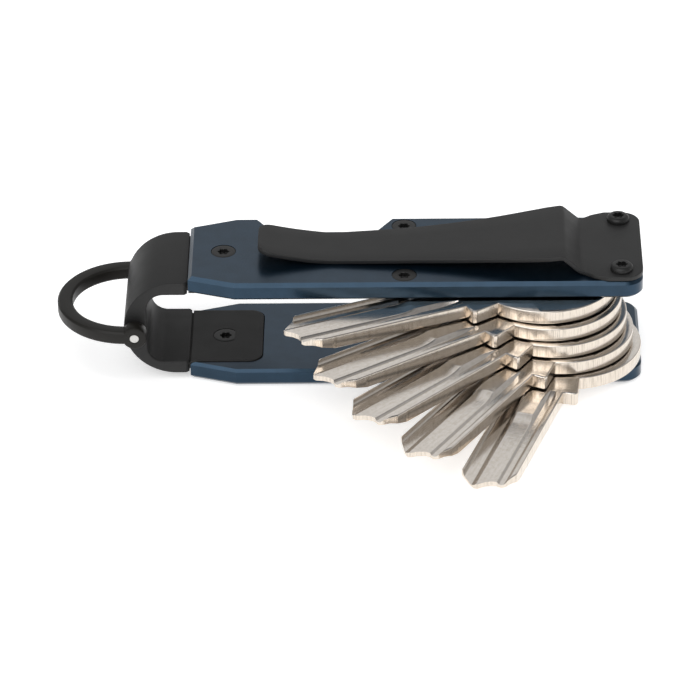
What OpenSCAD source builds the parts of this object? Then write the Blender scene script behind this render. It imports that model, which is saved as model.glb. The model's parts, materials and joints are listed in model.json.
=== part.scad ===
// Key organiser: two side plates held by a U-shaped yoke, five keys that turn on a
// post between them, a spring pocket clip on top and a hinged ring at the far end.
// Millimetres. Origin: centre of the bottom plate's outer face. +X runs to the pivot
// end, +Z to the clip side, and the keys fold out over the -Y edge.

/* [Plates] */
// Length of both side plates
plate_len = 74; // [60:0.5:100]
// Width of both side plates
plate_w = 21.6; // [18:0.1:30]
// Thickness of one side plate
plate_t = 3.0; // [2:0.1:4]
// Clear height between the two plates
gap = 13.3; // [8:0.1:20]
// Width of a plate where it meets the yoke
end_w = 16.6; // [12:0.1:22]
// Length of the taper at the yoke end
taper_len = 7.5; // [4:0.1:14]
// Radius of the two corners at the pivot end
corner_r = 3.0; // [1:0.1:6]
// Chamfer along the outer edges
bevel_out = 0.6; // [0.2:0.05:1]
// Chamfer along the inner edges
bevel_in = 0.45; // [0.1:0.05:0.8]
// Depth of the finger notch in the top plate's rear edge
notch_d = 4.2; // [2:0.1:6]
// Width of the notch at its mouth
notch_w = 21.8; // [12:0.1:30]
// Centre of the notch along the plate
notch_x = -14.9; // [-20:0.1:10]

/* [Pivot] */
// Pivot axis, measured back from the pivot end
pivot_inset = 9.9; // [7:0.1:15]
// Diameter of the post the keys turn on
post_d = 5.0; // [3:0.1:8]
// Radial clearance of a key on the post
post_clear = 0.08; // [0.02:0.01:0.1]
// Head diameter of the two pivot screws
pivot_head_d = 6.0; // [5:0.1:8]

/* [Keys] */
// Thickness of one key
key_t = 2.3; // [1.8:0.1:3]
// Thickness of each washer between the keys
washer_t = 0.2; // [0.1:0.05:0.4]
// Radius of the round bow
bow_r = 11.9; // [9:0.1:14]
// Bow centre, measured from the pivot
bow_off = 6.4; // [3:0.1:8]
// Distance from the pivot to the tip
key_reach = 51.9; // [40:0.1:60]
// Swing of each key out of the folded position, top key first
swing = [23.3, 35.1, 46.3, 58.5, 71.5]; // [0:0.5:180]

/* [Yoke and ring] */
// Width of the yoke
yoke_w = 17.0; // [12:0.1:20]
// How far the yoke's outer faces sit below the plates' outer faces
yoke_step = 1.1; // [0.3:0.1:2]
// Thickness of the yoke's legs
leg_t = 2.25; // [1.5:0.05:3]
// Thickness of the yoke's wall at the pin
wall_t = 3.8; // [3:0.1:5]
// Length of the tongues inside the plates
tongue_len = 11.8; // [8:0.1:15]
// Outer radius of the ring
ring_ro = 11.65; // [9:0.05:15]
// Radial width of the ring
ring_w = 2.5; // [1.5:0.1:4]
// Thickness of the ring
ring_t = 2.3; // [1.5:0.1:4]
// Diameter of the ring pin
pin_d = 1.5; // [1:0.1:2.5]

/* [Clip] */
// Sheet thickness of the clip
clip_t = 0.8; // [0.6:0.05:1.2]
// Height of the clip's crest above the plate
clip_rise = 3.45; // [2:0.05:5]
// Half distance between the two clip screws
screw_y = 7.9; // [5:0.1:9]

/* [Hidden] */
$fn = 96;
pl = plate_len / 2;
pw = plate_w / 2;
z_top0 = plate_t + gap;
z_top1 = z_top0 + plate_t;
z_mid = z_top1 / 2;
pivot_x = pl - pivot_inset;
pitch = (gap - 0.6 - key_t) / 4;
key_z0 = plate_t + 0.3;
leg_end = -pl - 0.2;
yoke_r = z_mid - yoke_step;
yoke_cx = leg_end - 1.95;
yoke_x0 = yoke_cx - yoke_r;
win_h = 2 * (yoke_r - leg_t);
win_r = 2.8;
tongue_w = 16.0;
tongue_t = 1.5;
tongue_proud = 0.2;
pin_x = yoke_x0 + 1.85;
ring_cx = pin_x - 1.45;
ring_ri = ring_ro - ring_w;
boss_r = 2.0;
yoke_screw_x = -pl + 5.6;
spare_x = -1.8;
clip_screw_x = 33.5;
small_head_d = 4.0;
small_shank_d = 1.9;
eps = 0.01;
black = [0.05, 0.05, 0.055];
blue = [0.07, 0.11, 0.18];
nickel = [0.66, 0.62, 0.58];
steel = [0.55, 0.55, 0.56];

// ---- shared shapes ---------------------------------------------------------------

// Corners of a plate's outline, counter-clockwise from the front of the yoke end. The third
// number is how far a chamfer tool runs on past that corner. Only the top plate is notched.
notch_s = 2.7;
function plate_line(notched) = concat(
  [[-pl, -end_w / 2, 1], [-pl + taper_len, -pw, 1], [pl, -pw, -corner_r], [pl, pw, -corner_r]],
  notched ? [[notch_x + notch_w / 2, pw, 1], [notch_x + notch_w / 2 - notch_s, pw - notch_d, 0],
             [notch_x - notch_w / 2 + notch_s, pw - notch_d, 0],
             [notch_x - notch_w / 2, pw, 1]] : [],
  [[-pl + taper_len, pw, 1], [-pl, end_w / 2, 1]]);

// Plan of a plate with its two corners rounded
module plate_plan(line) {
  difference() {
    polygon([for (p = line) [p[0], p[1]]]);
    for (s = [-1, 1]) difference() {
      translate([pl - corner_r, s * (pw - corner_r) - (s < 0 ? corner_r + 1 : 0)])
        square([corner_r + 1, corner_r + 1]);
      translate([pl - corner_r, s * (pw - corner_r)]) circle(r = corner_r);
    }
  }
}

// One chamfer tool at height z with legs s: square bars turned 45 degrees along the
// edges, then a turned ring at each of the two round corners
module bevel_tool(line, i, z, s) {
  d = s * sqrt(2);
  count = len(line);
  if (i < count) {
    p = line[i];
    q = line[(i + 1) % count];
    way = [q[0] - p[0], q[1] - p[1]];
    translate([p[0], p[1], z]) rotate([0, 0, atan2(way[1], way[0])])
      translate([-p[2], 0, 0]) rotate([45, 0, 0])
        translate([0, -d / 2, -d / 2]) cube([norm(way) + p[2] + q[2], d, d]);
  } else {
    k = i == count ? -1 : 1;
    translate([pl - corner_r, k * (pw - corner_r), z]) rotate([0, 0, k < 0 ? -90 : 0])
      rotate_extrude(angle = 90) translate([corner_r, 0]) rotate(45) square(d, center = true);
  }
}

// Plate blank standing on z = 0 with its first n chamfers cut, lower face first
module chamfered(line, n, z0s, z1s) {
  tools = len(line) + 2;
  if (n == 0) linear_extrude(plate_t) plate_plan(line);
  else difference() {
    chamfered(line, n - 1, z0s, z1s);
    if (n <= tools) bevel_tool(line, n - 1, 0, z0s);
    else bevel_tool(line, n - 1 - tools, plate_t, z1s);
  }
}

module blank(notched, z0s, z1s) {
  line = plate_line(notched);
  chamfered(line, 2 * (len(line) + 2), z0s, z1s);
}

// Pocket for a tongue, cut z0..z1, open at the yoke end and rounded at the other
module tongue_pocket(z0, z1, w, l) {
  r = 2.2;
  translate([0, 0, z0]) linear_extrude(z1 - z0) difference() {
    translate([-pl - 3, -w / 2]) square([l + 3, w]);
    for (s = [-1, 1]) difference() {
      translate([-pl + l - r, s * (w / 2 - r) - (s < 0 ? r + 1 : 0)]) square([r + 1, r + 1]);
      translate([-pl + l - r, s * (w / 2 - r)]) circle(r = r);
    }
  }
}

// Six-lobe socket, cut downwards from z = 0
module lobe_socket(d, depth) {
  translate([0, 0, -depth]) linear_extrude(depth + 0.5) {
    circle(d = d * 0.74, $fn = 48);
    for (a = [0:60:300]) rotate(a) translate([d * 0.37, 0]) circle(d = d * 0.26, $fn = 24);
  }
}

// Countersunk screw, head flush with z = 0, shank down
module flush_screw(head_d, shank_d, l, sock) {
  h = (head_d - shank_d) / 2;
  difference() {
    union() {
      translate([0, 0, -0.25]) cylinder(h = 0.25, d = head_d);
      translate([0, 0, -0.25 - h]) cylinder(h = h, d1 = shank_d, d2 = head_d);
      translate([0, 0, -l]) cylinder(h = l - 0.25 - h + eps, d = shank_d);
    }
    lobe_socket(sock, 0.8);
  }
}

// Seat and hole for that screw, cut from z = 0 down
module flush_seat(head_d, shank_d, l, c = 0.05) {
  h = (head_d - shank_d) / 2;
  translate([0, 0, -0.3]) cylinder(h = 1.3, d = head_d + 2 * c);
  translate([0, 0, -0.3 - h]) cylinder(h = h, d1 = shank_d + 2 * c, d2 = head_d + 2 * c);
  translate([0, 0, -l]) cylinder(h = l - 0.2 - h, d = shank_d + 2 * c);
}

// ---- plates ----------------------------------------------------------------------

module bottom_plate() {
  color(blue) difference() {
    blank(false, bevel_out, bevel_in);
    tongue_pocket(plate_t + tongue_proud - tongue_t - 0.05, plate_t + 1, tongue_w + 0.2,
                  tongue_len + 0.15);
    translate([yoke_screw_x, 0, -1]) cylinder(h = plate_t + 2, d = small_shank_d + 0.1);
    translate([pivot_x, 0, 0]) mirror([0, 0, 1]) flush_seat(pivot_head_d, 3.0, 8);
  }
}

module top_plate() {
  color(blue) difference() {
    translate([0, 0, z_top0]) blank(true, bevel_in, bevel_out);
    tongue_pocket(z_top0 - 1, z_top0 - tongue_proud + tongue_t + 0.05, tongue_w + 0.2,
                  tongue_len + 0.15);
    translate([yoke_screw_x, 0, z_top1]) flush_seat(small_head_d, small_shank_d, 5);
    for (s = [-1, 1]) {
      translate([spare_x, s * screw_y, z_top1]) flush_seat(small_head_d, small_shank_d, 5);
      translate([clip_screw_x, s * screw_y, z_top0 - 1])
        cylinder(h = plate_t + 2, d = small_shank_d + 0.1);
    }
    translate([pivot_x, 0, z_top1]) flush_seat(pivot_head_d, 3.0, 8);
  }
}

// ---- yoke and its screws ---------------------------------------------------------

// Side view of the yoke: a half-round back with a window that has rounded corners
module yoke_side() {
  difference() {
    union() {
      circle(r = yoke_r, $fn = 180);
      translate([0, -yoke_r]) square([leg_end - yoke_cx, 2 * yoke_r]);
    }
    translate([leg_end - yoke_cx, -20]) square([20, 40]);
    translate([-yoke_r + wall_t + win_r, -win_h / 2]) square([30, win_h]);
    translate([-yoke_r + wall_t, -win_h / 2 + win_r]) square([10, win_h - 2 * win_r]);
    for (s = [-1, 1]) translate([-yoke_r + wall_t + win_r, s * (win_h / 2 - win_r)])
      circle(r = win_r);
  }
}

module tongue(z0) {
  r = 2.2;
  translate([0, 0, z0]) linear_extrude(tongue_t) difference() {
    translate([leg_end - 1.2, -tongue_w / 2]) square([tongue_len + 1.4, tongue_w]);
    for (s = [-1, 1]) difference() {
      translate([-pl + tongue_len - r, s * (tongue_w / 2 - r) - (s < 0 ? r + 1 : 0)])
        square([r + 1, r + 1]);
      translate([-pl + tongue_len - r, s * (tongue_w / 2 - r)]) circle(r = r);
    }
  }
}

module yoke() {
  c = 0.5;
  color(black) difference() {
    union() {
      translate([yoke_cx, 0, z_mid]) rotate([90, 0, 0])
        linear_extrude(yoke_w, center = true) yoke_side();
      tongue(plate_t + tongue_proud - tongue_t);
      tongue(z_top0 - tongue_proud);
    }
    // relief groove between leg and tongue
    for (z = [plate_t - 0.25, z_top0 - 0.75])
      translate([leg_end, -10, z]) cube([0.25, 20, 1]);
    // clipped corners at the ends of the legs
    for (s = [-1, 1]) translate([leg_end, s * yoke_w / 2, z_mid]) rotate([0, 0, 45])
      cube([c * sqrt(2), c * sqrt(2), 30], center = true);
    translate([pin_x, 0, z_mid]) rotate([90, 0, 0])
      cylinder(h = yoke_w + 2, d = pin_d + 0.1, center = true);
    translate([yoke_screw_x, 0, z_top0 - 2]) cylinder(h = 6, d = small_shank_d + 0.1);
    translate([yoke_screw_x, 0, plate_t + tongue_proud])
      flush_seat(small_head_d, small_shank_d, 4);
  }
}

module yoke_screw_upper() {
  color(black) translate([yoke_screw_x, 0, z_top1 - 0.03])
    flush_screw(small_head_d, small_shank_d, 3.0, 1.9);
}

module yoke_screw_lower() {
  color(black) translate([yoke_screw_x, 0, plate_t + tongue_proud - 0.03])
    flush_screw(small_head_d, small_shank_d, 3.0, 1.9);
}

module blanking_screws() {
  color(black) for (s = [-1, 1]) translate([spare_x, s * screw_y, z_top1 - 0.03])
    flush_screw(small_head_d, small_shank_d, 2.7, 1.9);
}

// ---- clip ------------------------------------------------------------------------

// Upper face of the clip in side view, [x, height above the plate], tip first
crest_x = 23.9;
foot_x = 27.4;
touch_x = -13.4;
tip_x = -25.6;
function arm_z(x) = let (u = (x - touch_x) / (crest_x - touch_x))
  clip_t + (clip_rise - clip_t) * (0.34 * u + 0.66 * pow(u, 2.3));
function tip_z(x) = let (u = (touch_x - x) / (touch_x - tip_x)) clip_t + 2.0 * pow(u, 1.5);
upper = concat([for (i = [0:10]) let (x = tip_x + (touch_x - tip_x) * i / 10) [x, tip_z(x)]],
               [for (i = [1:16]) let (x = touch_x + (crest_x - touch_x) * i / 16)
                 [x, arm_z(x)]],
               [[crest_x + 0.5, clip_rise - 0.12], [foot_x - 0.4, clip_t + 0.16],
                [foot_x + 0.3, clip_t], [pl, clip_t]]);
// The lower face lies one sheet thickness inside, measured square to the sheet
function unit(v) = v / norm(v);
function dir_at(i) = unit(upper[min(i + 1, len(upper) - 1)] - upper[max(i - 1, 0)]);
lower = [for (i = [len(upper) - 1:-1:0]) let (d = dir_at(i))
  [upper[i][0] + clip_t * d[1], max(0.01, upper[i][1] - clip_t * d[0])]];

// Half width of the clip along its length, [x, half width]
clip_half = [[tip_x, 2.4], [tip_x + 0.5, 3.6], [tip_x + 1.3, 4.25], [tip_x + 2.6, 4.6],
             [-17, 4.65], [-13.4, 4.55], [-6.6, 4.9], [0.1, 5.3], [5.7, 5.9], [10.6, 6.5],
             [13.9, 7.0], [18.1, 7.7], [21.7, 8.25], [23.9, 8.35], [foot_x, 8.5],
             [29.1, 9.75], [31.2, 10.55]];

module clip_plan() {
  r = 3.0;
  w = 10.55;
  polygon(concat([for (p = clip_half) [p[0], -p[1]]],
                 [[pl - r, -w], [pl - r, w]],
                 [for (i = [len(clip_half) - 1:-1:0]) [clip_half[i][0], clip_half[i][1]]]));
  translate([pl - r - 1, -(w - r)]) square([r + 1, 2 * (w - r)]);
  for (s = [-1, 1]) translate([pl - r, s * (w - r)]) circle(r = r);
}

module pocket_clip() {
  color(black) translate([0, 0, z_top1 + 0.02]) difference() {
    intersection() {
      rotate([90, 0, 0]) linear_extrude(30, center = true) polygon(concat(upper, lower));
      translate([0, 0, -1]) linear_extrude(8) clip_plan();
    }
    for (s = [-1, 1]) translate([clip_screw_x, s * screw_y, -1])
      cylinder(h = 4, d = small_shank_d + 0.2);
  }
}

module clip_screws() {
  head_d = 3.7;
  head_h = 1.15;
  rad = (pow(head_d / 2, 2) + pow(head_h - 0.35, 2)) / (2 * (head_h - 0.35));
  color(black) for (s = [-1, 1]) translate([clip_screw_x, s * screw_y, z_top1 + clip_t + 0.04])
    difference() {
      union() {
        cylinder(h = 0.35, d = head_d);
        intersection() {
          translate([0, 0, head_h - rad]) sphere(r = rad);
          translate([0, 0, 0.35]) cylinder(h = head_h, d = head_d);
        }
        translate([0, 0, -3.4]) cylinder(h = 3.5, d = small_shank_d);
      }
      translate([0, 0, head_h]) lobe_socket(1.9, 0.85);
    }
}

// ---- pivot -----------------------------------------------------------------------

module pivot_post() {
  color(steel) translate([pivot_x, 0, plate_t + 0.03]) difference() {
    cylinder(h = gap - 0.06, d = post_d);
    translate([0, 0, -1]) cylinder(h = gap + 2, d = 3.1);
  }
}

module pivot_screw_upper() {
  color(steel) translate([pivot_x, 0, z_top1 - 0.03])
    flush_screw(pivot_head_d, 3.0, 8.5, 2.6);
}

module pivot_screw_lower() {
  color(steel) translate([pivot_x, 0, 0.03]) mirror([0, 0, 1])
    flush_screw(pivot_head_d, 3.0, 8.5, 2.6);
}

module washer(z) {
  translate([pivot_x, 0, z + 0.3 / 2 - washer_t / 2]) difference() {
    cylinder(h = washer_t, d = 9);
    translate([0, 0, -1]) cylinder(h = 2, d = post_d + 0.2);
  }
}

module washer_top() { color(steel) washer(z_top0 - 0.3); }
module washer_bottom() { color(steel) washer(plate_t); }
module key_spacers() {
  color(steel) for (i = [0:3]) washer(key_z0 + key_t + i * pitch);
}

// ---- keys ------------------------------------------------------------------------

// Key outline: pivot at 0, blade along +X, stop shoulder on the +Y side
module key_plan() {
  difference() {
    union() {
      translate([bow_off, 0]) circle(r = bow_r, $fn = 180);
      polygon([[10, -4.9], [22.4, -4.9], [22.6, -4.8], [key_reach - 3.2, -4.8],
               [key_reach - 1.8, -3.6], [key_reach - 0.6, -2.6], [key_reach, -1.8],
               [key_reach - 0.1, -1.2], [key_reach - 1.0, -0.4], [key_reach - 1.6, 0.6],
               [key_reach - 1.7, 1.4], [key_reach - 1.45, 2.2], [key_reach - 1.8, 2.8],
               [key_reach - 4.4, 3.9], [22.2, 3.9], [22.0, 5.7], [21.2, 6.15], [16.9, 5.1],
               [10, 5.1]]);
    }
    circle(r = post_d / 2 + post_clear);
  }
}

// Milled groove, section [v, depth] swept along the blade, run out by the cutter radius
module groove(section, u0, rc) {
  v0 = section[0][0];
  v1 = section[len(section) - 1][0];
  d = max([for (p = section) p[1]]);
  translate([u0, 0, 0]) rotate([90, 0, 90]) linear_extrude(60)
    polygon([for (p = section) [p[0], -p[1]]]);
  intersection() {
    translate([u0, v0, rc - d]) rotate([-90, 0, 0]) cylinder(h = v1 - v0, r = rc, $fn = 180);
    translate([u0 - 12, v0, -3]) cube([12 + eps, v1 - v0, 3]);
  }
}

module key(i) {
  z = key_z0 + (5 - i) * pitch;
  color(nickel) translate([pivot_x, 0, z]) rotate([0, 0, 180 + swing[i - 1]])
    difference() {
      linear_extrude(key_t) key_plan();
      translate([0, 0, key_t]) {
        groove([[-4.4, -0.3], [-4.4, 0.5], [-4.2, 0.75], [-2.3, 0.75], [-1.5, 0.3],
                [1.65, 0.3], [1.65, -0.3]], 33.2, 16);
        groove([[-4.4, -0.3], [-4.4, 0.5], [-4.2, 0.75], [-2.3, 0.75], [-1.4, -0.3]],
               27.5, 16);
        groove([[0.85, -0.3], [1.8, 0.6], [2.6, 0.6], [3.55, -0.3]], 26.5, 16);
      }
      mirror([0, 0, 1]) {
        groove([[-2.9, -0.3], [-2.6, 0.6], [-1.6, 0.6], [-1.3, -0.3]], 26.5, 16);
        groove([[0.1, -0.3], [0.4, 0.7], [1.5, 0.7], [1.8, -0.3]], 26.5, 16);
      }
      // insertion bevel under the tip
      rotate([90, 0, 0]) linear_extrude(20, center = true)
        polygon([[key_reach - 6.9, 0], [key_reach - 3.1, 1.15], [key_reach + 1, 1.15],
                 [key_reach + 1, -1], [key_reach - 6.9, -1]]);
    }
}

module key_1() { key(1); }
module key_2() { key(2); }
module key_3() { key(3); }
module key_4() { key(4); }
module key_5() { key(5); }

// ---- ring ------------------------------------------------------------------------

// Section of the ring: a rectangle with bevelled edges
module ring_section() {
  b = 0.35;
  polygon([[0, -ring_t / 2 + b], [b, -ring_t / 2], [ring_w - b, -ring_t / 2],
           [ring_w, -ring_t / 2 + b], [ring_w, ring_t / 2 - b], [ring_w - b, ring_t / 2],
           [b, ring_t / 2], [0, ring_t / 2 - b]]);
}

module d_ring() {
  color(black) difference() {
    union() {
      translate([ring_cx, 0, z_mid]) rotate([0, 0, 90]) rotate_extrude(angle = 180)
        translate([ring_ri, 0]) ring_section();
      for (s = [0, 1]) mirror([0, s, 0]) {
        translate([ring_cx - eps, ring_ri, z_mid]) rotate([90, 0, 90])
          linear_extrude(pin_x - ring_cx + 2 * eps) ring_section();
        translate([pin_x, ring_ri, z_mid]) rotate([-90, 0, 0])
          cylinder(h = ring_w, r = boss_r);
      }
    }
    translate([pin_x, 0, z_mid]) rotate([90, 0, 0])
      cylinder(h = 2 * ring_ro + 2, d = pin_d + 0.02, center = true);
  }
}

module ring_pin() {
  color([0.7, 0.69, 0.67]) translate([pin_x, 0, z_mid]) rotate([90, 0, 0])
    cylinder(h = 2 * ring_ro - 0.1, d = pin_d, center = true);
}

bottom_plate();
top_plate();
yoke();
yoke_screw_upper();
yoke_screw_lower();
blanking_screws();
pocket_clip();
clip_screws();
pivot_post();
pivot_screw_upper();
pivot_screw_lower();
washer_top();
washer_bottom();
key_spacers();
key_1();
key_2();
key_3();
key_4();
key_5();
d_ring();
ring_pin();
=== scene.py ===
# %% [markdown]
# A pocket key organiser. Two blue anodised side plates are held apart by a black yoke, five
# nickel-plated keys fan out between them on a hidden post, a sprung clip lies on top, and a ring
# hinges at the yoke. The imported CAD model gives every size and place, so it is loaded first and
# never changed: finer surfaces are made around it, and each rides on the CAD body it belongs to.

# %% Load the frame
import json
import math

import bmesh
import bpy
import numpy as np
from mathutils import Matrix, Vector


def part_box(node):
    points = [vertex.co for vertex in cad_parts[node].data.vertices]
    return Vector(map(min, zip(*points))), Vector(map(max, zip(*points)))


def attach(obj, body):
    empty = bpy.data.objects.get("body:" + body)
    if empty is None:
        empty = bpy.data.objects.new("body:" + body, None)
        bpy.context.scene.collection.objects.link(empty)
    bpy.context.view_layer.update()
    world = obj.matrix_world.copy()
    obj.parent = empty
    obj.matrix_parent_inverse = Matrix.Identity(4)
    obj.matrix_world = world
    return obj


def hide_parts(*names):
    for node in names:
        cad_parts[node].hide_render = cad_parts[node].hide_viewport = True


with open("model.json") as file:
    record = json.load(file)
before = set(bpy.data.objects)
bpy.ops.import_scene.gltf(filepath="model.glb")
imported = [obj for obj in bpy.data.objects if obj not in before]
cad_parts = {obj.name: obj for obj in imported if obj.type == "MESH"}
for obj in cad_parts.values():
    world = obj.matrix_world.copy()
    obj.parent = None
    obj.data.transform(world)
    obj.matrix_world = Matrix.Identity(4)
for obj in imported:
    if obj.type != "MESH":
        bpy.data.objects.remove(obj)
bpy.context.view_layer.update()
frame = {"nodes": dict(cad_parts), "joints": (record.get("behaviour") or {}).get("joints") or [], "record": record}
MM = 0.001

# %% [markdown]
# The picture is taken from the front, a little under 32 degrees above the table, with a long lens
# from most of a metre away, so the two plates look almost parallel. A camera is placed by hand
# with look-at angles, but here the three axes are worked out from elevation, yaw and roll, because
# that keeps the small roll exact.

# %% Camera
ELEVATION, YAW, ROLL = math.radians(31.729), math.radians(0.774), math.radians(-0.774)
DISTANCE = 0.829014
TARGET = Vector((-0.010879, 0.0, 0.00012))
SENSOR = 36
LENS_RATIO = 50 / 7


def add_camera():
    """Aims a long lens at TARGET: back = towards the camera, right = level, then a roll about back."""
    back = Vector((math.sin(YAW) * math.cos(ELEVATION), -math.cos(YAW) * math.cos(ELEVATION),
                   math.sin(ELEVATION)))
    level = Vector((math.cos(YAW), math.sin(YAW), 0))
    up = back.cross(level)
    right = math.cos(ROLL) * level + math.sin(ROLL) * up
    top = math.cos(ROLL) * up - math.sin(ROLL) * level
    data = bpy.data.cameras.new("camera")
    data.sensor_width = SENSOR
    data.lens = SENSOR * LENS_RATIO
    data.clip_start = 0.01
    camera = bpy.data.objects.new("camera", data)
    camera.matrix_world = Matrix((right, top, back)).transposed().to_4x4()
    camera.location = TARGET + back * DISTANCE
    bpy.context.scene.collection.objects.link(camera)
    bpy.context.scene.camera = camera
    return camera


camera = add_camera()
print("lens", round(camera.data.lens, 1), "mm at", round(camera.location.length, 3), "m")

# %% [markdown]
# Shader maths reads best as plain expressions, so Field wraps a socket and overloads the
# operators. Each expression adds its Math nodes behind the scenes. Every other node comes from
# make(), which sets a node's settings first and then its sockets.

# %% Fields and nodes
class Field:
    """A value over a surface: arithmetic on it adds Math nodes."""

    def __init__(self, socket):
        self.socket = socket

    def math(self, operation, *values):
        """One Math node in this field's tree."""
        tree = self.socket.node.id_data
        return make(tree, "ShaderNodeMath", {"operation": operation}, dict(enumerate(values)))

    def __add__(self, other):
        return self.math("ADD", self, other)

    def __mul__(self, other):
        return self.math("MULTIPLY", self, other)

    def __sub__(self, other):
        return self.math("SUBTRACT", self, other)

    def __rsub__(self, other):
        return self.math("SUBTRACT", other, self)

    __radd__ = __add__
    __rmul__ = __mul__

    def step(self, low, high):
        """0 below low, 1 above high, and a smooth rise between."""
        tree = self.socket.node.id_data
        return make(tree, "ShaderNodeMapRange", {"interpolation_type": "SMOOTHSTEP"},
                    {"Value": self, "From Min": low, "From Max": high})


def make(tree, kind, settings=None, sockets=None, output=0):
    """Adds a node, sets its settings, then the values or links of its sockets, and wraps an output."""
    node = tree.nodes.new(kind)
    for name, value in (settings or {}).items():
        setattr(node, name, value)
    for key, value in (sockets or {}).items():
        if isinstance(value, Field):
            tree.links.new(value.socket, node.inputs[key])
        else:
            node.inputs[key].default_value = value
    return Field(node.outputs[output]) if node.outputs else None


def blend_colour(tree, factor, first, second):
    """first where factor is 0 and second where it is 1."""
    return make(tree, "ShaderNodeMix", {"data_type": "RGBA"}, {0: factor, 6: first, 7: second}, 2)


def noise(tree, place, scale, detail=2.0, roughness=0.5):
    """Noise with about scale lumps in each unit of place."""
    return make(tree, "ShaderNodeTexNoise", {}, {"Vector": place, "Scale": scale,
                                                 "Detail": detail, "Roughness": roughness})


def stretched(tree, place, x, y, z):
    """Place with each axis multiplied, which squeezes a pattern along that axis."""
    return make(tree, "ShaderNodeVectorMath", {"operation": "MULTIPLY"}, {0: place, 1: (x, y, z)})


def colour(r, g, b):
    """An opaque colour for a socket, from linear red, green and blue."""
    return (r, g, b, 1.0)


def new_finish(name, uniform, varied, height=None, depth=0.0):
    """A material: uniform values go on the shader's own sockets, varied ones are linked to it,
    and height, a field of about 0 to 1, becomes a bump depth metres high. varied and height are
    functions of the tree."""
    material = bpy.data.materials.new(name)
    material.use_nodes = True
    tree = material.node_tree
    tree.nodes.clear()
    sockets = dict(uniform)
    sockets.update(varied(tree))
    if height is not None:
        sockets["Normal"] = make(tree, "ShaderNodeBump", {}, {"Strength": 1.0, "Distance": depth,
                                                              "Height": height(tree)})
    shader = make(tree, "ShaderNodeBsdfPrincipled", {}, sockets)
    make(tree, "ShaderNodeOutputMaterial", {}, {"Surface": shader})
    print("finish", name, "has", len(tree.nodes), "nodes")
    return material


def object_place(tree):
    """Where a point is on the object at rest, in millimetres."""
    place = make(tree, "ShaderNodeTexCoord", {}, {}, 3)
    return stretched(tree, place, 1000, 1000, 1000)


def own_place(tree):
    """Where a point is in its piece's own directions, in millimetres, as stored by piece()."""
    return make(tree, "ShaderNodeAttribute", {"attribute_name": "place"}, {}, 1)


print("shader helpers:", ", ".join(f.__name__ for f in (make, blend_colour, noise, stretched, new_finish)))


# %% [markdown]
# The side plates are aluminium, bead-blasted, dyed dark blue in the anodising bath and sealed. The
# metal under the dye tints what it mirrors, and the clear oxide on it adds a faint white sheen at
# low angles. So the finish is a rough blue metal with a thin coat, and a very fine blasted grain.

# %% Anodised blue
BLUE_DEEP, BLUE_PALE = colour(0.010, 0.031, 0.056), colour(0.015, 0.042, 0.075)


def blue_variation(tree):
    """Broad clouds and fine grain in equal parts choose the tone, and the grain adds roughness."""
    place = object_place(tree)
    cloud = noise(tree, place, 0.35, 3)
    grain = noise(tree, place, 9, 2)
    tone = (cloud * 0.5 + grain * 0.5).step(0.3, 0.7)
    return {"Base Color": blend_colour(tree, tone, BLUE_DEEP, BLUE_PALE), "Roughness": 0.27 + grain * 0.08}


def blasted_grain(tree):
    """About eleven bumps in each millimetre."""
    return noise(tree, object_place(tree), 11, 3)


blue_finish = new_finish("anodised_blue", {"Metallic": 0.9, "Coat Weight": 0.4, "Coat Roughness": 0.2},
                         blue_variation, blasted_grain, 0.000006)

# %% [markdown]
# The yoke, clip, ring and screws are black: a baked or phosphate coating a few hundredths of a
# millimetre thick. It hides the metal completely, so it is a dark dielectric, matt because of its
# fine tooth, with a faint polish where hands rub it.

# %% Black coatings
def black_finish(name, dark, light, rough, tooth, gloss=0.36):
    """A matt black between dark and light, with a bump tooth metres high; gloss is how much it mirrors."""
    def variation(tree):
        """Clouds and grain in equal parts choose the tone, and add up to 0.1 to the roughness."""
        place = object_place(tree)
        cloud = noise(tree, place, 0.3, 3).step(0.3, 0.7)
        grain = noise(tree, place, 7, 2)
        return {"Base Color": blend_colour(tree, cloud * 0.5 + grain * 0.5, colour(*dark),
                                           colour(*light)),
                "Roughness": rough + (cloud * 0.5 + grain * 0.5) * 0.1}

    return new_finish(name, {"Specular IOR Level": gloss}, variation,
                      lambda tree: noise(tree, object_place(tree), 8, 3), tooth)


clip_finish = black_finish("clip_black", (0.017, 0.017, 0.017), (0.022, 0.022, 0.022), 0.46, 0.000005)
yoke_finish = black_finish("yoke_black", (0.014, 0.014, 0.014), (0.019, 0.019, 0.019), 0.50, 0.000006)
ring_finish = black_finish("ring_black", (0.008, 0.007, 0.006), (0.012, 0.011, 0.009), 0.36, 0.000004,
                           gloss=0.26)
screw_finish = black_finish("screw_black", (0.008, 0.008, 0.008), (0.016, 0.016, 0.016), 0.34, 0.000003)

# %% [markdown]
# Bare steel shows on the ring's pin and the pivot. Its tone and roughness change a little from place
# to place, as they do on a turned part that has been handled.

# %% Turned steel
STEEL_DARK, STEEL_LIGHT = colour(0.50, 0.49, 0.47), colour(0.68, 0.67, 0.65)


def steel_variation(tree):
    """One cloud pattern sets both the tone and the roughness."""
    cloud = noise(tree, object_place(tree), 2.5, 3)
    return {"Base Color": blend_colour(tree, cloud, STEEL_DARK, STEEL_LIGHT),
            "Roughness": 0.24 + cloud * 0.16}


steel_finish = new_finish("bare_steel", {"Metallic": 1.0}, steel_variation,
                          lambda tree: noise(tree, object_place(tree), 6, 2), 0.000004)
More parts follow.
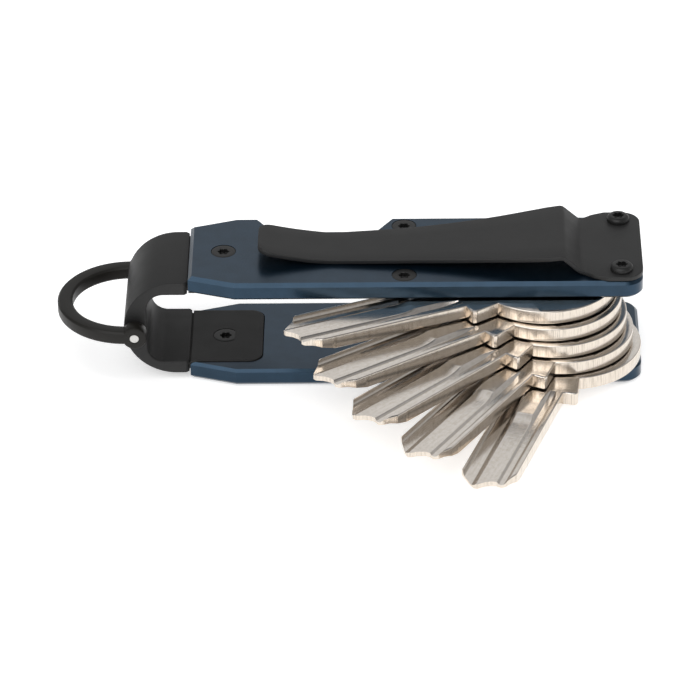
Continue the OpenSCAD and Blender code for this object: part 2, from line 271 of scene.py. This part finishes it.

# %% [markdown]
# Keys are blanked from brass, milled and nickel-plated. The plating is bright and slightly warm.
# The punch leaves fine upright drag lines on the edges and the cutter leaves faint marks across the
# blade. Surfaces that point sideways get a darker, warmer colour: painted shade and painted warm
# reflection on the walls, varied by the drag lines. The patterns must follow each turned key, so
# they read its own directions: along the blade, across it and up.

# %% Nickel
NICKEL_PALE, NICKEL_WARM = colour(0.82, 0.765, 0.71), colour(0.74, 0.68, 0.61)
# Wall tones for sideways-facing surfaces: painted shade and painted warm reflection.
WALL_SHADE_PALE, WALL_SHADE_DARK = colour(0.70, 0.625, 0.54), colour(0.50, 0.43, 0.35)


def key_variation(tree):
    """Faces get the nickel tones; surfaces whose normal points sideways mostly get darker, warmer wall tones,
    which are painted shade and painted reflection.
    """
    place = own_place(tree)
    run = noise(tree, stretched(tree, place, 0.08, 2.6, 2.6), 1, 3)
    cloud = noise(tree, place, 1.6, 4)
    drag = noise(tree, stretched(tree, place, 6, 6, 0.25), 1, 2)
    warm = (cloud * 0.6 + run * 0.4).step(0.35, 0.7)
    tone = blend_colour(tree, warm, NICKEL_PALE, NICKEL_WARM)
    normal = make(tree, "ShaderNodeNewGeometry", {}, {}, 1)
    side = make(tree, "ShaderNodeSeparateXYZ", {}, {0: normal}, 2)
    upright = 1 - side.math("ABSOLUTE", side).step(0.3, 0.8)
    # Painted shade and painted warm reflection: sideways walls get darker, warmer tones, varied by the drag lines.
    wall = blend_colour(tree, drag.step(0.45, 0.75), WALL_SHADE_PALE, WALL_SHADE_DARK)
    tone = blend_colour(tree, upright * 0.85, tone, wall)
    return {"Base Color": tone, "Roughness": 0.12 + run * 0.10 + upright * drag * 0.12}


def key_height(tree):
    """Cutter marks and drag lines in equal parts."""
    place = own_place(tree)
    marks = noise(tree, stretched(tree, place, 3.0, 0.4, 0.4), 1, 2)
    drag = noise(tree, stretched(tree, place, 5, 5, 0.2), 1, 2)
    return marks * 0.5 + drag * 0.5


key_finish = new_finish("key_nickel", {"Metallic": 1.0}, key_variation, key_height, 0.00001)

# %% [markdown]
# The stage is a wide white sheet that glows slightly, lit like a product table. A big panel hangs
# high in front and a dimmer one stands behind. Metal shows what it mirrors, so the surround is
# dimmer straight above, and the side panel isn't mirrored: it only lights matt surfaces.

# %% Stage and light
FLOOR_GLOW, WORLD_GLOW = 0.5, 0.42


def add_floor():
    """A flat square sheet just under the object."""
    half = 4.0
    level = -0.00005
    mesh = bpy.data.meshes.new("floor")
    mesh.from_pydata([(-half, -half, level), (half, -half, level), (half, half, level),
                      (-half, half, level)], [], [(0, 1, 2, 3)])
    floor = bpy.data.objects.new("floor", mesh)
    bpy.context.scene.collection.objects.link(floor)
    lit = {"Roughness": 0.9, "Emission Color": colour(1, 1, 1), "Emission Strength": FLOOR_GLOW}
    mesh.materials.append(new_finish("floor_white", lit, lambda tree: {
        "Base Color": colour(0.9, 0.9, 0.9)}))


def add_panel(name, place, size, glow, mirrored=True):
    """A square soft panel at place, facing the object. Its power is glow x area x 4, so that glow is
    how bright it looks in a mirror; a panel that isn't mirrored only lights matt surfaces."""
    data = bpy.data.lights.new(name, "AREA")
    data.size = size
    data.energy = glow * size ** 2 * 4
    panel = bpy.data.objects.new(name, data)
    panel.location = place
    panel.rotation_euler = Vector(place).to_track_quat("Z", "Y").to_euler()
    panel.visible_glossy = mirrored
    bpy.context.scene.collection.objects.link(panel)


def add_surround():
    """White from every side, dimmer towards the zenith."""
    world = bpy.data.worlds.new("surround")
    world.use_nodes = True
    tree = world.node_tree
    tree.nodes.clear()
    way = make(tree, "ShaderNodeTexCoord", {}, {}, 0)
    height = make(tree, "ShaderNodeSeparateXYZ", {}, {0: way}, 2)
    dim = height.step(0.62, 0.95)
    tone = blend_colour(tree, dim, colour(1.0, 1.0, 1.0), colour(0.30, 0.31, 0.33))
    glow = make(tree, "ShaderNodeBackground", {}, {"Color": tone, "Strength": WORLD_GLOW})
    make(tree, "ShaderNodeOutputWorld", {}, {"Surface": glow})
    bpy.context.scene.world = world


add_floor()
add_surround()
add_panel("front_panel", (-0.3, -0.6, 0.95), 1.2, 1.5)
add_panel("back_panel", (0.0, 1.0, 0.62), 1.0, 0.24)
add_panel("side_panel", (0.9, 0.1, 0.6), 0.6, 3.0, mirrored=False)
bpy.context.scene.view_settings.view_transform = "Standard"

# %% [markdown]
# Every finer piece is made of patches: grids of points worked out with numpy, in millimetres.
# piece() joins the patches, welds their shared edges, turns all faces outwards, marks sharp edges
# and hangs the result on its CAD body in place of the CAD node. It also stores each point's place
# in the piece's own directions, for patterns that follow it.

# %% Patches into pieces
def quads(rows, cols):
    """The four corner numbers of each face of a rows x cols grid."""
    i, j = np.meshgrid(np.arange(rows - 1), np.arange(cols - 1), indexing="ij")
    return np.stack([i * cols + j, i * cols + j + 1, (i + 1) * cols + j + 1, (i + 1) * cols + j],
                    -1).reshape(-1, 4)


def strip(*rows):
    """One patch out of rows of points that have the same length."""
    return np.stack(rows)


def piece(name, patches, body, node, finish, move=None, sharp=35):
    """Welds patches of points in mm, moved by the 4x4 matrix move, into one closed mesh."""
    start = 0
    faces = []
    for patch in patches:
        faces.append(quads(*patch.shape[:2]) + start)
        start += patch.shape[0] * patch.shape[1]
    own = np.concatenate([patch.reshape(-1, 3) for patch in patches])
    move = np.eye(4) if move is None else move
    placed = own @ move[:3, :3].T + move[:3, 3]
    mesh = bpy.data.meshes.new(name)
    mesh.from_pydata((placed * MM).tolist(), [], np.concatenate(faces).tolist())
    place = mesh.attributes.new("place", "FLOAT_VECTOR", "POINT")
    place.data.foreach_set("vector", own.astype(np.float32).ravel())
    work = bmesh.new()
    work.from_mesh(mesh)
    bmesh.ops.remove_doubles(work, verts=work.verts, dist=1e-6)
    bmesh.ops.recalc_face_normals(work, faces=work.faces)
    open_edges = sum(1 for e in work.edges if not e.is_manifold)
    work.to_mesh(mesh)
    work.free()
    mesh.shade_smooth()
    mesh.set_sharp_from_angle(angle=math.radians(sharp))
    mesh.materials.append(finish)
    thing = bpy.data.objects.new(name, mesh)
    bpy.context.scene.collection.objects.link(thing)
    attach(thing, body)
    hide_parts(node)
    print(name, len(mesh.polygons), "faces,", open_edges, "open edges")


def shift(x, y, z, turn=0.0):
    """A 4x4 matrix in mm: a turn about +Z in degrees, then a move."""
    c, s = math.cos(math.radians(turn)), math.sin(math.radians(turn))
    return np.array([[c, -s, 0, x], [s, c, 0, y], [0, 0, 1, z], [0, 0, 0, 1.0]])


def soft(gap, radius):
    """How far a face has dropped at a distance gap from its edge, for a quarter-round edge."""
    inside = np.clip(radius - gap, 0, radius)
    return radius - np.sqrt(radius ** 2 - inside ** 2)


def gap_to(points, line):
    """Distance from each point (..., 2) to a closed polyline (n, 2)."""
    a, b = line, np.roll(line, -1, 0)
    d = b - a
    p = points[..., None, :] - a
    t = np.clip((p * d).sum(-1) / (d * d).sum(-1), 0, 1)
    return np.sqrt(((p - t[..., None] * d) ** 2).sum(-1)).min(-1)


print("a grid of 3 x 4 points makes", len(quads(3, 4)), "faces")

# %% [markdown]
# A key is a flat blank with a round bow, a stop shoulder and a milled blade. It could be cut out
# of a slab with booleans, but then its edges would be knife-sharp. Instead its two faces are
# height fields over the outline: the height drops in a quarter round at every edge, and by the
# depth of the milled grooves, which rise along the cutter's own radius at their end. The blade is a
# plain grid, and the bow a polar grid round the post, and they share the points of one chord.

# %% Key outline and grooves
KEY_T = 2.3
POST_R = 2.58
BOW_R, BOW_OFF = 11.9, 6.4
JOIN = 12.0
STRAIGHT = 45.0
REACH = 51.9
EDGE = 0.2
REAR, FRONT = -4.8, 3.9
THINNEST = 0.25
CUTTER_R = 16
WIDE = (33.2, [-4.44, -4.38, -4.2, -2.3, -1.5, 1.65, 1.66], [0, 0.5, 0.75, 0.75, 0.3, 0.3, 0])
LONG = (27.5, [-4.44, -4.38, -4.2, -2.3, -1.66], [0, 0.5, 0.75, 0.75, 0])
NARROW = (26.5, [1.17, 1.8, 2.6, 3.23], [0, 0.6, 0.6, 0])
UNDER_REAR = (26.5, [-2.9, -2.6, -1.6, -1.3], [0, 0.6, 0.6, 0])
UNDER_MID = (26.5, [0.1, 0.4, 1.5, 1.8], [0, 0.7, 0.7, 0])


def bow_half(u):
    """Half height of the round bow at u along the key, by Pythagoras."""
    return np.sqrt(np.clip(BOW_R ** 2 - (u - BOW_OFF) ** 2, 0, None))


def front_edge(u):
    """Front edge: the bow's arc, the neck up to the stop shoulder, its knob, then the blade."""
    neck = np.interp(u, [12, 16.9, 21.1, 21.35, 21.9, 22.1, 22.2],
                     [5.1, 5.1, 6.05, 6.15, 6.0, 5.6, FRONT])
    return np.maximum(bow_half(u), neck)


def rear_edge(u):
    """Rear edge: the bow's arc, then the neck, slightly wider than the blade."""
    return -np.maximum(bow_half(u), np.interp(u, [22.4, 22.9], [4.9, -REAR]))


def tip_at(v):
    """Where the blade ends, at v across it: a beak behind the middle, a hollow, and two cut corners."""
    return REACH + np.interp(v, [REAR, -3.6, -2.6, -1.8, -1.2, -0.4, 0.6, 1.4, 2.2, 2.8, FRONT],
                             [-3.2, -1.8, -0.6, 0, -0.1, -1.0, -1.6, -1.7, -1.45, -1.8, -4.4])


def tip_bevel(u):
    """Height of the lower face above the blade's underside near the tip, where it is ramped."""
    return np.clip((u - REACH + 6.9) * 0.303, 0, 1.15)


def milled(u, v, start, across, depth):
    """Groove depth: a section across the blade, lifted along the cutter's circle before start."""
    back = np.clip(start - u, 0, CUTTER_R)
    lift = CUTTER_R - np.sqrt(CUTTER_R ** 2 - back ** 2)
    return np.clip(np.interp(v, across, depth) - lift, 0, None)


def deepest(u, v, grooves):
    """The depth of whichever groove is deepest at each point."""
    return np.max([milled(u, v, *groove) for groove in grooves], axis=0)


print("key", round(REACH + BOW_R - BOW_OFF, 1), "mm long, blade", round(FRONT - REAR, 1), "mm wide")

# %% [markdown]
# The grids are fine only where something happens: five points down each rounded edge, one at every
# corner of a groove, and close steps round the stop shoulder. Elsewhere they are coarse.

# %% Key surface
STOPS = [JOIN, 16.6, 17.6, 20.9, 22.3, 34, STRAIGHT]
COUNTS = [14, 12, 9, 22, 50, 12]


def key_patches():
    """Two height fields over blade and bow, and the walls between their edges."""
    offsets = np.array([0, 0.03, 0.08, 0.14, 0.2])
    across = np.unique(np.concatenate([
        np.linspace(REAR + 0.3, FRONT - 0.3, 56),
        WIDE[1], LONG[1], NARROW[1]]).round(3))
    runs = [np.linspace(start, end, count)[:-1] for start, end, count in zip(STOPS, STOPS[1:], COUNTS)]
    along = np.concatenate(runs + [[STRAIGHT]])
    ends = np.concatenate([np.linspace(0, 0.9, 14)[1:-1], 1 - offsets[::-1] / 6])
    low = rear_edge(along)[:, None] + offsets
    high = front_edge(along)[:, None] - offsets[::-1]
    middle = np.broadcast_to(across, (len(along), len(across)))
    v = np.concatenate([low, middle, high], 1)
    u = np.broadcast_to(along[:, None], v.shape)
    tip = tip_at(v[-1])
    u = np.concatenate([u, STRAIGHT + (tip - STRAIGHT) * ends[:, None]])
    v = np.concatenate([v, np.broadcast_to(v[-1], (len(ends), v.shape[1]))])
    blade = np.stack([u, v], -1)
    chord = blade[0]
    corner = math.atan2(chord[-1, 1], JOIN)
    round_angles = np.linspace(corner, 2 * math.pi - corner, 150)[1:-1]
    angle = np.concatenate([np.arctan2(chord[:, 1], JOIN), round_angles])
    arc = BOW_OFF * np.cos(round_angles) + np.sqrt(BOW_R ** 2 - (BOW_OFF * np.sin(round_angles)) ** 2)
    outer = np.concatenate([np.hypot(chord[:, 0], chord[:, 1]), arc])
    share = np.linspace(0, 1, 9)[1:-1]
    radius = np.concatenate([outer[None] - offsets[:, None],
                             POST_R + 0.2 + (outer[None] - POST_R - 0.4) * (1 - share[:, None]),
                             np.broadcast_to(POST_R + offsets[::-1, None], (len(offsets), len(outer)))])
    bow = np.stack([radius * np.cos(angle), radius * np.sin(angle)], -1)
    bow[0, :len(chord)] = chord
    bow = np.concatenate([bow, bow[:, :1]], 1)
    rim = np.concatenate([blade[:, 0], blade[-1, 1:-1], blade[::-1, -1], bow[0, len(chord):-1]])
    post = POST_R * np.stack([np.cos(angle), np.sin(angle)], -1)

    def faces(flat):
        """Upper and lower face over the same plan points."""
        gap = np.minimum(gap_to(flat, rim), gap_to(flat, post))
        drop = soft(gap, EDGE)
        u, v = flat[..., 0], flat[..., 1]
        top = KEY_T - np.maximum(drop, deepest(u, v, (WIDE, LONG, NARROW)))
        low = np.maximum(deepest(u, v, (UNDER_REAR, UNDER_MID)), tip_bevel(u))
        low = np.minimum(np.maximum(drop, low), top - THINNEST)
        return (np.concatenate([flat, top[..., None]], -1), np.concatenate([flat, low[..., None]], -1))

    blade_top, blade_low = faces(blade)
    bow_top, bow_low = faces(bow)
    turn = len(chord) - 1
    walls = [strip(blade_top[:, 0], blade_low[:, 0]), strip(blade_top[:, -1], blade_low[:, -1]),
             strip(blade_top[-1], blade_low[-1]), strip(bow_top[0, turn:], bow_low[0, turn:]),
             strip(bow_top[-1], bow_low[-1])]
    return [blade_top, blade_low, bow_top, bow_low] + walls


key_shape = key_patches()
joints = {joint["name"]: joint for joint in frame["joints"]}
for number in range(1, 6):
    name = "key_%d" % number
    joint = joints[name + "_swing"]
    pivot = np.array(joint["pos_m"]) / MM
    swing = -joint["range_deg"][0]
    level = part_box(name)[0].z / MM
    piece("milled_" + name, key_shape, name, name, key_finish,
          shift(pivot[0], pivot[1], level, 180 + swing), 40)

# %% [markdown]
# The pocket clip is one strip of spring steel: blanked, bent and coated. Its side view is a line of
# heights above the plate, a slow rise to a crest, a steep step down to the foot, and an upturned
# tip. Its plan is a half width along its length. Extruding and cutting would leave sharp corners,
# so the strip is swept along its line, with a rounded section and softened bends.

# %% Pocket clip
PLATE_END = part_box("top_plate")[1].x / MM
PLATE_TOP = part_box("top_plate")[1].z / MM
SHEET = 0.8
CLIP_TIP, CLIP_TOUCH, CLIP_CREST, CLIP_FOOT = -25.6, -13.4, 23.9, 27.4
CLIP_RISE = 3.45
CLIP_HALF = [[CLIP_TIP, CLIP_TIP + 2.6, -17, CLIP_TOUCH, -6.6, 0.1, 5.7, 10.6, 13.9, 18.1, 21.7,
              CLIP_CREST, CLIP_FOOT, 29.1, 31.2],
             [4.6, 4.6, 4.65, 4.55, 4.9, 5.3, 5.9, 6.5, 7.0, 7.7, 8.25, 8.35, 8.5, 9.75, 10.55]]


def clip_height(x):
    """Upper face above the plate: tip curl, touch point, arm rising as a power, step and foot."""
    arm = np.clip((x - CLIP_TOUCH) / (CLIP_CREST - CLIP_TOUCH), 0, 1)
    rise = SHEET + (CLIP_RISE - SHEET) * (0.34 * arm + 0.66 * arm ** 2.3)
    curl = SHEET + 2.0 * np.clip((CLIP_TOUCH - x) / (CLIP_TOUCH - CLIP_TIP), 0, 1) ** 1.5
    step = np.interp(x, [CLIP_CREST, CLIP_CREST + 0.5, CLIP_FOOT - 0.4, CLIP_FOOT + 0.3],
                     [CLIP_RISE, CLIP_RISE - 0.12, SHEET + 0.16, SHEET])
    return np.where(x < CLIP_TOUCH, curl, np.where(x < CLIP_CREST, rise, step))


def round_end(x, end, radius):
    """How much a strip narrows towards a square end with corners of this radius."""
    inside = np.clip(radius - np.abs(end - x), 0, radius)
    return radius - np.sqrt(np.clip(radius ** 2 - inside ** 2, 0, None))


def clip_patches():
    """Sweeps a flat section with rounded edges along the clip's line."""
    eased = (1 - np.cos(np.linspace(0, math.pi / 2, 16))) * 3.0
    x = np.unique(np.concatenate([CLIP_TIP + eased, np.linspace(CLIP_TIP + 3, 22.5, 90),
                                  np.linspace(22.5, 29, 60), np.linspace(29, PLATE_END - 3, 20),
                                  PLATE_END - eased]).round(4))
    fine = np.linspace(CLIP_TIP - 1, PLATE_END + 1, 4001)
    window = np.hanning(61)
    padded_height = np.pad(clip_height(np.clip(fine, CLIP_TIP, PLATE_END)), 30, mode="edge")
    height = np.interp(x, fine, np.convolve(padded_height, window / window.sum(), "valid"))
    half = np.interp(x, *CLIP_HALF) - round_end(x, CLIP_TIP, 2.2) - round_end(x, PLATE_END, 3.0)
    slope = np.gradient(height, x)
    normal = np.stack([-slope, np.ones_like(x)], -1) / np.hypot(slope, 1)[:, None]
    radius = 0.16
    turn = np.linspace(0, math.pi / 2, 5)
    depth = np.concatenate([radius * (1 - np.sin(turn)), [0, 0, 0], radius * (1 - np.cos(turn)),
                            SHEET - radius * (1 - np.sin(turn)), [SHEET, SHEET, SHEET],
                            SHEET - radius * (1 - np.cos(turn))])
    inset = radius * (1 - np.cos(turn))
    share = [-0.5, 0, 0.5]
    near, away = -1 + 0 * turn, 1 + 0 * turn
    side = np.concatenate([near, share, away, away, share[::-1], near])
    tuck = np.concatenate([inset, [0, 0, 0], inset[::-1], inset, [0, 0, 0], inset[::-1]])
    y = side * half[:, None] - np.sign(side) * tuck
    centre = np.stack([x, height], -1)[:, None, :] - normal[:, None, :] * depth[:, None]
    z = np.maximum(centre[..., 1], 0.01)
    ring = np.stack([centre[..., 0], y, z], -1)
    ring = np.concatenate([ring, ring[:, :1]], 1)
    count = len(depth) // 2
    caps = [strip(ring[end, :count], ring[end, count:2 * count][::-1]) for end in (0, -1)]
    return [ring] + caps


piece("sprung_clip", clip_patches(), "organiser", "pocket_clip", clip_finish,
      shift(0, 0, PLATE_TOP + 0.02), 50)

# %% [markdown]
# A small screw is a turned part: one outline spun about its axis. Its six-lobed socket isn't
# round, so the spin's radius ripples with the angle inside the socket and is constant outside.
# The same function makes the flush screws and the two with domed heads.

# %% Screws
SOCKET_R, SOCKET_DEPTH = 0.84, 0.8
HEAD_SINK = 0.03


def screw_patches(outline, socket_r, depth):
    """Spins outline, rows of radius and height from the shank's end up to the socket's mouth."""
    angle = np.linspace(0, 2 * math.pi, 97)
    lobes = socket_r * (1 + 0.13 * np.cos(6 * angle))
    mouth = outline[-1][1]
    rows = [[radius * np.cos(angle), radius * np.sin(angle), height + 0 * angle]
            for radius, height in outline]
    for scale, height in ((1.08, mouth), (1.0, mouth - 0.07), (0.97, mouth - depth + 0.06),
                          (0.9, mouth - depth), (0.0, mouth - depth - 0.12)):
        rows.append([scale * lobes * np.cos(angle), scale * lobes * np.sin(angle), height + 0 * angle])
    return np.array(rows).transpose(0, 2, 1)


def flush_outline(head_r, shank_r, length):
    """Shank, countersunk cone and a thin rim with a small round."""
    cone = 0.25 + head_r - shank_r
    return [(0, -length), (shank_r - 0.2, -length), (shank_r, 0.2 - length), (shank_r, -cone),
            (head_r, -0.25), (head_r, -0.1), (head_r - 0.03, -0.03), (head_r - 0.1, 0),
            (head_r * 0.75, 0.0), (head_r * 0.55, 0.0)]


def dome_outline(head_r, shank_r, length, height):
    """Shank, a short upright rim, then a quarter of an ellipse up to a flat crown round the socket."""
    crown = head_r * 0.62
    bend = np.linspace(0, math.pi / 2, 9)
    radius = crown + (head_r - crown) * np.cos(bend)
    rise = 0.3 + (height - 0.3) * np.sin(bend)
    return [(0, -length), (shank_r, -length), (shank_r, 0), (head_r - 0.05, 0), (head_r, 0.05),
            *zip(radius, rise)]


def add_screws(name, node, outline, places, finish=None, body="organiser",
               socket=SOCKET_R):
    """One piece with a screw at each (x, y, z, up), where up is -1 for a head that faces down."""
    shape = screw_patches(outline, socket, SOCKET_DEPTH)
    piece(name, [shape * (1, up, up) + (x, y, z) for x, y, z, up in places], body, node,
          finish or screw_finish, None, 32)


SCREW_Y = 7.9
YOKE_SCREW_X = -PLATE_END + 5.6
TONGUE_TOP = 3.2
small_flush = flush_outline(2.0, 0.95, 3.0)
for name, level in (("upper", PLATE_TOP), ("lower", TONGUE_TOP)):
    add_screws("flush_screw_" + name, "yoke_screw_" + name, small_flush,
               [(YOKE_SCREW_X, 0, level - HEAD_SINK, 1)])
add_screws("flush_screws_spare", "blanking_screws", flush_outline(2.0, 0.95, 2.7),
           [(-1.8, s * SCREW_Y, PLATE_TOP - HEAD_SINK, 1) for s in (-1, 1)])
add_screws("domed_screws", "clip_screws", dome_outline(1.85, 0.95, 3.4, 0.95),
           [(33.5, s * SCREW_Y, PLATE_TOP + SHEET + 0.04, 1) for s in (-1, 1)])
pivot_x = joints["key_1_swing"]["pos_m"][0] / MM
for name, height, up in (("upper", PLATE_TOP - HEAD_SINK, 1), ("lower", HEAD_SINK, -1)):
    add_screws("pivot_screw_head_" + name, "pivot_screw_" + name, flush_outline(3.0, 1.5, 6.4),
               [(pivot_x, 0, height, up)], steel_finish, socket=1.25)

# %% [markdown]
# The ring is a horseshoe of flat bar with its edges broken, ending in two eyes that hold the pin.
# A bar section is carried along the centre line, straight, half round, straight, so the edges keep
# their width all the way. Each eye is a short turned disc, and the pin's ends are turned too.

# %% Ring and pin
PIN_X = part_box("ring_pin")[0].x / MM + 0.75
PIN_Z = (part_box("ring_pin")[0].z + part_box("ring_pin")[1].z) / 2 / MM
RING_RO, RING_W, RING_T = 11.65, 2.5, 2.3
RING_CX = PIN_X - 1.45
EYE_R, PIN_R = 2.0, 0.75


def bar_section(width, thick, bevel, rounding):
    """Corners of a bevelled rectangle about 0, each bevel edge itself cut once more."""
    w, t = width / 2, thick / 2
    corner = np.array([[w, t - bevel - rounding], [w - rounding * 0.3, t - bevel + rounding * 0.3],
                       [w - bevel + rounding * 0.3, t - rounding * 0.3], [w - bevel - rounding, t]])
    upper = np.concatenate([corner, corner[::-1] * (-1, 1)])
    section = np.concatenate([upper, -upper])
    return np.concatenate([section, section[:1]])


def ring_patches():
    """The bar carried round the horseshoe, closed at both ends, with an eye at each end."""
    middle = RING_RO - RING_W / 2
    bend = np.linspace(0, math.pi, 97)
    stop = PIN_X - EYE_R * 0.6
    path = np.concatenate([[[stop, middle]], np.stack([RING_CX - middle * np.sin(bend),
                                                       middle * np.cos(bend)], -1), [[stop, -middle]]])
    outward = np.concatenate([[[0, 1]], np.stack([-np.sin(bend), np.cos(bend)], -1), [[0, -1]]])
    section = bar_section(RING_W, RING_T, 0.35, 0.1)
    plan = path[:, None, :] + outward[:, None, :] * section[:, :1]
    bar = np.concatenate([plan, np.broadcast_to(section[:, 1:], plan.shape[:2] + (1,))], -1)
    middle_point = [np.broadcast_to(bar[end].mean(0), bar[end].shape) for end in (0, -1)]
    patches = [bar, strip(bar[0], middle_point[0]), strip(bar[-1], middle_point[1])]
    return patches + [eye_patch(side * (RING_RO - RING_W + 0.02), side * (RING_RO - 0.02))
                      for side in (1, -1)]


def turned(rows):
    """Spins rows of radius and Y about the pin's line."""
    angle = np.linspace(0, 2 * math.pi, 65)
    return np.array([[PIN_X + r * np.cos(angle), y + 0 * angle, r * np.sin(angle)]
                     for r, y in rows]).transpose(0, 2, 1)


def eye_patch(inner, outer):
    """A turned eye about the pin: its bore, a face, a broken edge, its rim, and back to the bore."""
    way = math.copysign(1, outer - inner)
    bore = PIN_R + 0.02
    return turned([(bore, inner), (EYE_R - 0.3, inner), (EYE_R - 0.1, inner + way * 0.1),
                   (EYE_R, inner + way * 0.3), (EYE_R, outer - way * 0.3),
                   (EYE_R - 0.1, outer - way * 0.1), (EYE_R - 0.3, outer), (bore, outer), (bore, inner)])


def pin_patch(half, bevel):
    """The pin, half its length each way, with a broken edge at both ends."""
    side = [(0, -half), (PIN_R - bevel, -half), (PIN_R - bevel * 0.3, -half + bevel * 0.3),
            (PIN_R, -half + bevel)]
    return turned(side + [(r, -y) for r, y in side[::-1]])


piece("horseshoe_ring", ring_patches(), "ring", "d_ring", ring_finish,
      shift(0, 0, PIN_Z), 30)
piece("cross_pin", [pin_patch(RING_RO - 0.02, 0.1)], "ring", "ring_pin", steel_finish,
      shift(0, 0, PIN_Z), 30)

# %% [markdown]
# The yoke is milled from solid: a half-round back with a window, and two thin tongues let into the
# plates. Its side view is drawn as an outer and an inner line with matching points. The wall
# between them is swept across the width with rounded edges. Each tongue is a slab seen from its
# screw: every direction from the screw's centre meets its outline once, so a polar grid fits it
# and leaves the countersunk seat open.

# %% Yoke
YOKE_W = 17.0
YOKE_R = PIN_Z - 1.1
LEG_END = -PLATE_END - 0.2
YOKE_CX = LEG_END - 1.95
LEG_T, WALL_T, WINDOW_R = 2.25, 3.8, 2.8
TONGUE_L, TONGUE_W, TONGUE_T, TONGUE_R = 11.8, 16.0, 1.5, 2.2


def arc_line(cx, cz, radius, start, end, count):
    """Points on a circle from one angle to another, in degrees."""
    angle = np.radians(np.linspace(start, end, count))
    return np.stack([cx + radius * np.cos(angle), cz + radius * np.sin(angle)], -1)


def along_line(line, count):
    """A polyline resampled to count points at equal steps."""
    steps = np.concatenate([[0], np.cumsum(np.hypot(*np.diff(line, axis=0).T))])
    at = np.linspace(0, steps[-1], count)
    return np.stack([np.interp(at, steps, line[:, 0]), np.interp(at, steps, line[:, 1])], -1)


def yoke_back():
    """Sweeps the wall between two matching lines across the width, with quarter-round edges."""
    half = YOKE_R - LEG_T
    wall = YOKE_CX - YOKE_R + WALL_T + WINDOW_R
    outer = np.concatenate([[[LEG_END, YOKE_R]], arc_line(YOKE_CX, 0, YOKE_R, 90, 270, 97),
                            [[LEG_END, -YOKE_R]]])
    inner = np.concatenate([[[LEG_END, half]], arc_line(wall, half - WINDOW_R, WINDOW_R, 90, 180, 25),
                            arc_line(wall, WINDOW_R - half, WINDOW_R, 180, 270, 25),
                            [[LEG_END, -half]]])
    outer, inner = along_line(outer, 161), along_line(inner, 161)
    deep = (inner - outer) / np.hypot(*(inner - outer).T)[:, None]
    half_w = YOKE_W / 2 - np.clip(0.5 - np.abs(outer[:, 0] - LEG_END), 0, 0.5)
    radius = 0.35
    turn = np.linspace(0, math.pi / 2, 6)
    sink, tuck = radius * (1 - np.cos(turn)), radius * (1 - np.sin(turn))
    top = [(sink[::-1], tuck[::-1], -1), (sink, tuck, 1)]
    columns = []
    for base, inward, order in ((outer, deep, top), (inner, -deep, [(s, t, -w) for s, t, w in top])):
        for depths, tucks, side in order:
            for depth, tucked in zip(depths, tucks):
                plan = base + inward * depth
                columns.append(np.stack([plan[:, 0], side * (half_w - tucked), plan[:, 1]], -1))
    loop = np.stack(columns + columns[:1], 1)
    count = len(columns) // 2
    return [loop] + [strip(loop[end, :count], loop[end, count:2 * count][::-1]) for end in (0, -1)]


def tongue_outline():
    """The tongue's plan: square at the leg, two round corners inside, points every few degrees."""
    near, far, half = LEG_END + 0.25, -PLATE_END + TONGUE_L, TONGUE_W / 2
    bend = np.concatenate([arc_line(far - TONGUE_R, half - TONGUE_R, TONGUE_R, 90, 0, 13),
                           arc_line(far - TONGUE_R, TONGUE_R - half, TONGUE_R, 0, -90, 13)])
    edge = np.linspace(-half, half, 17)
    side = np.linspace(near, far - TONGUE_R, 13)[1:-1]
    return np.concatenate([np.stack([near + 0 * edge, edge], -1), np.stack([side, half + 0 * side], -1),
                           bend, np.stack([side[::-1], -half + 0 * side], -1), [[near, -half]]])


def tongue_patch(face, way, seat):
    """A slab from its hole out to its outline and back underneath; way is 1 if face is the top."""
    centre = np.array([YOKE_SCREW_X, 0])
    outline = tongue_outline() - centre
    reach = np.hypot(*outline.T)
    aim = outline / reach[:, None]
    hole = [(1.0, TONGUE_T)] + ([(1.0, 1.35), (2.05, 0.3), (2.05, 0.06), (2.11, 0)] if seat else
                                [(1.0, 0.06), (1.06, 0)])
    rows = [(aim * radius, depth) for radius, depth in hole]
    for gap, depth in ((0.3, 0), (0.15, 0), (0.07, 0.02), (0.02, 0.07), (0, 0.15), (0, TONGUE_T)):
        rows.append((aim * (reach - gap)[:, None], depth))
    rows.append(rows[0])
    return np.stack([np.concatenate([plan + centre, np.full((len(plan), 1), face - way * depth)], 1)
                     for plan, depth in rows])


def bridge_patches(low, high):
    """A plain block between two corners: its four walls as one strip, and two ends."""
    (x0, y0, z0), (x1, y1, z1) = low, high
    ends = np.array([[[x, y0, z0], [x, y1, z0], [x, y1, z1], [x, y0, z1], [x, y0, z0]]
                     for x in (x0, x1)], float)
    return [ends] + [strip(end[:2], end[[3, 2]]) for end in ends]


TONGUE_HIGH = 16.1
yoke_walls = [patch + (0, 0, PIN_Z) for patch in yoke_back()]
piece("yoke_back", yoke_walls, "organiser", "yoke", yoke_finish, None, 28)
for name, face, way, seat in (("lower", TONGUE_TOP, 1, True), ("upper", TONGUE_HIGH, -1, False)):
    inner_z, outer_z = sorted((face - way * 0.45, face - way * TONGUE_T))
    bridge = bridge_patches((LEG_END - 0.8, -7.9, inner_z), (LEG_END + 0.4, 7.9, outer_z))
    piece("yoke_tongue_" + name, [tongue_patch(face, way, seat)] + bridge, "organiser", "yoke",
          yoke_finish, None, 28)

# %% [markdown]
# Everything else that still shows from the CAD gets its own finish on the node's material slot.

# %% Finishes of the CAD nodes
CAD_FINISH = {"anodised_blue": blue_finish, "yoke_black": yoke_finish, "clip_black": clip_finish,
              "ring_black": ring_finish, "screw_black": screw_finish, "bare_steel": steel_finish,
              "key_nickel": key_finish}
for part in frame["record"]["subparts"]:
    mesh = frame["nodes"][part["node"]].data
    mesh.materials.clear()
    mesh.materials.append(CAD_FINISH[part["material_slot"]])
print("finished", len(frame["nodes"]), "CAD nodes")
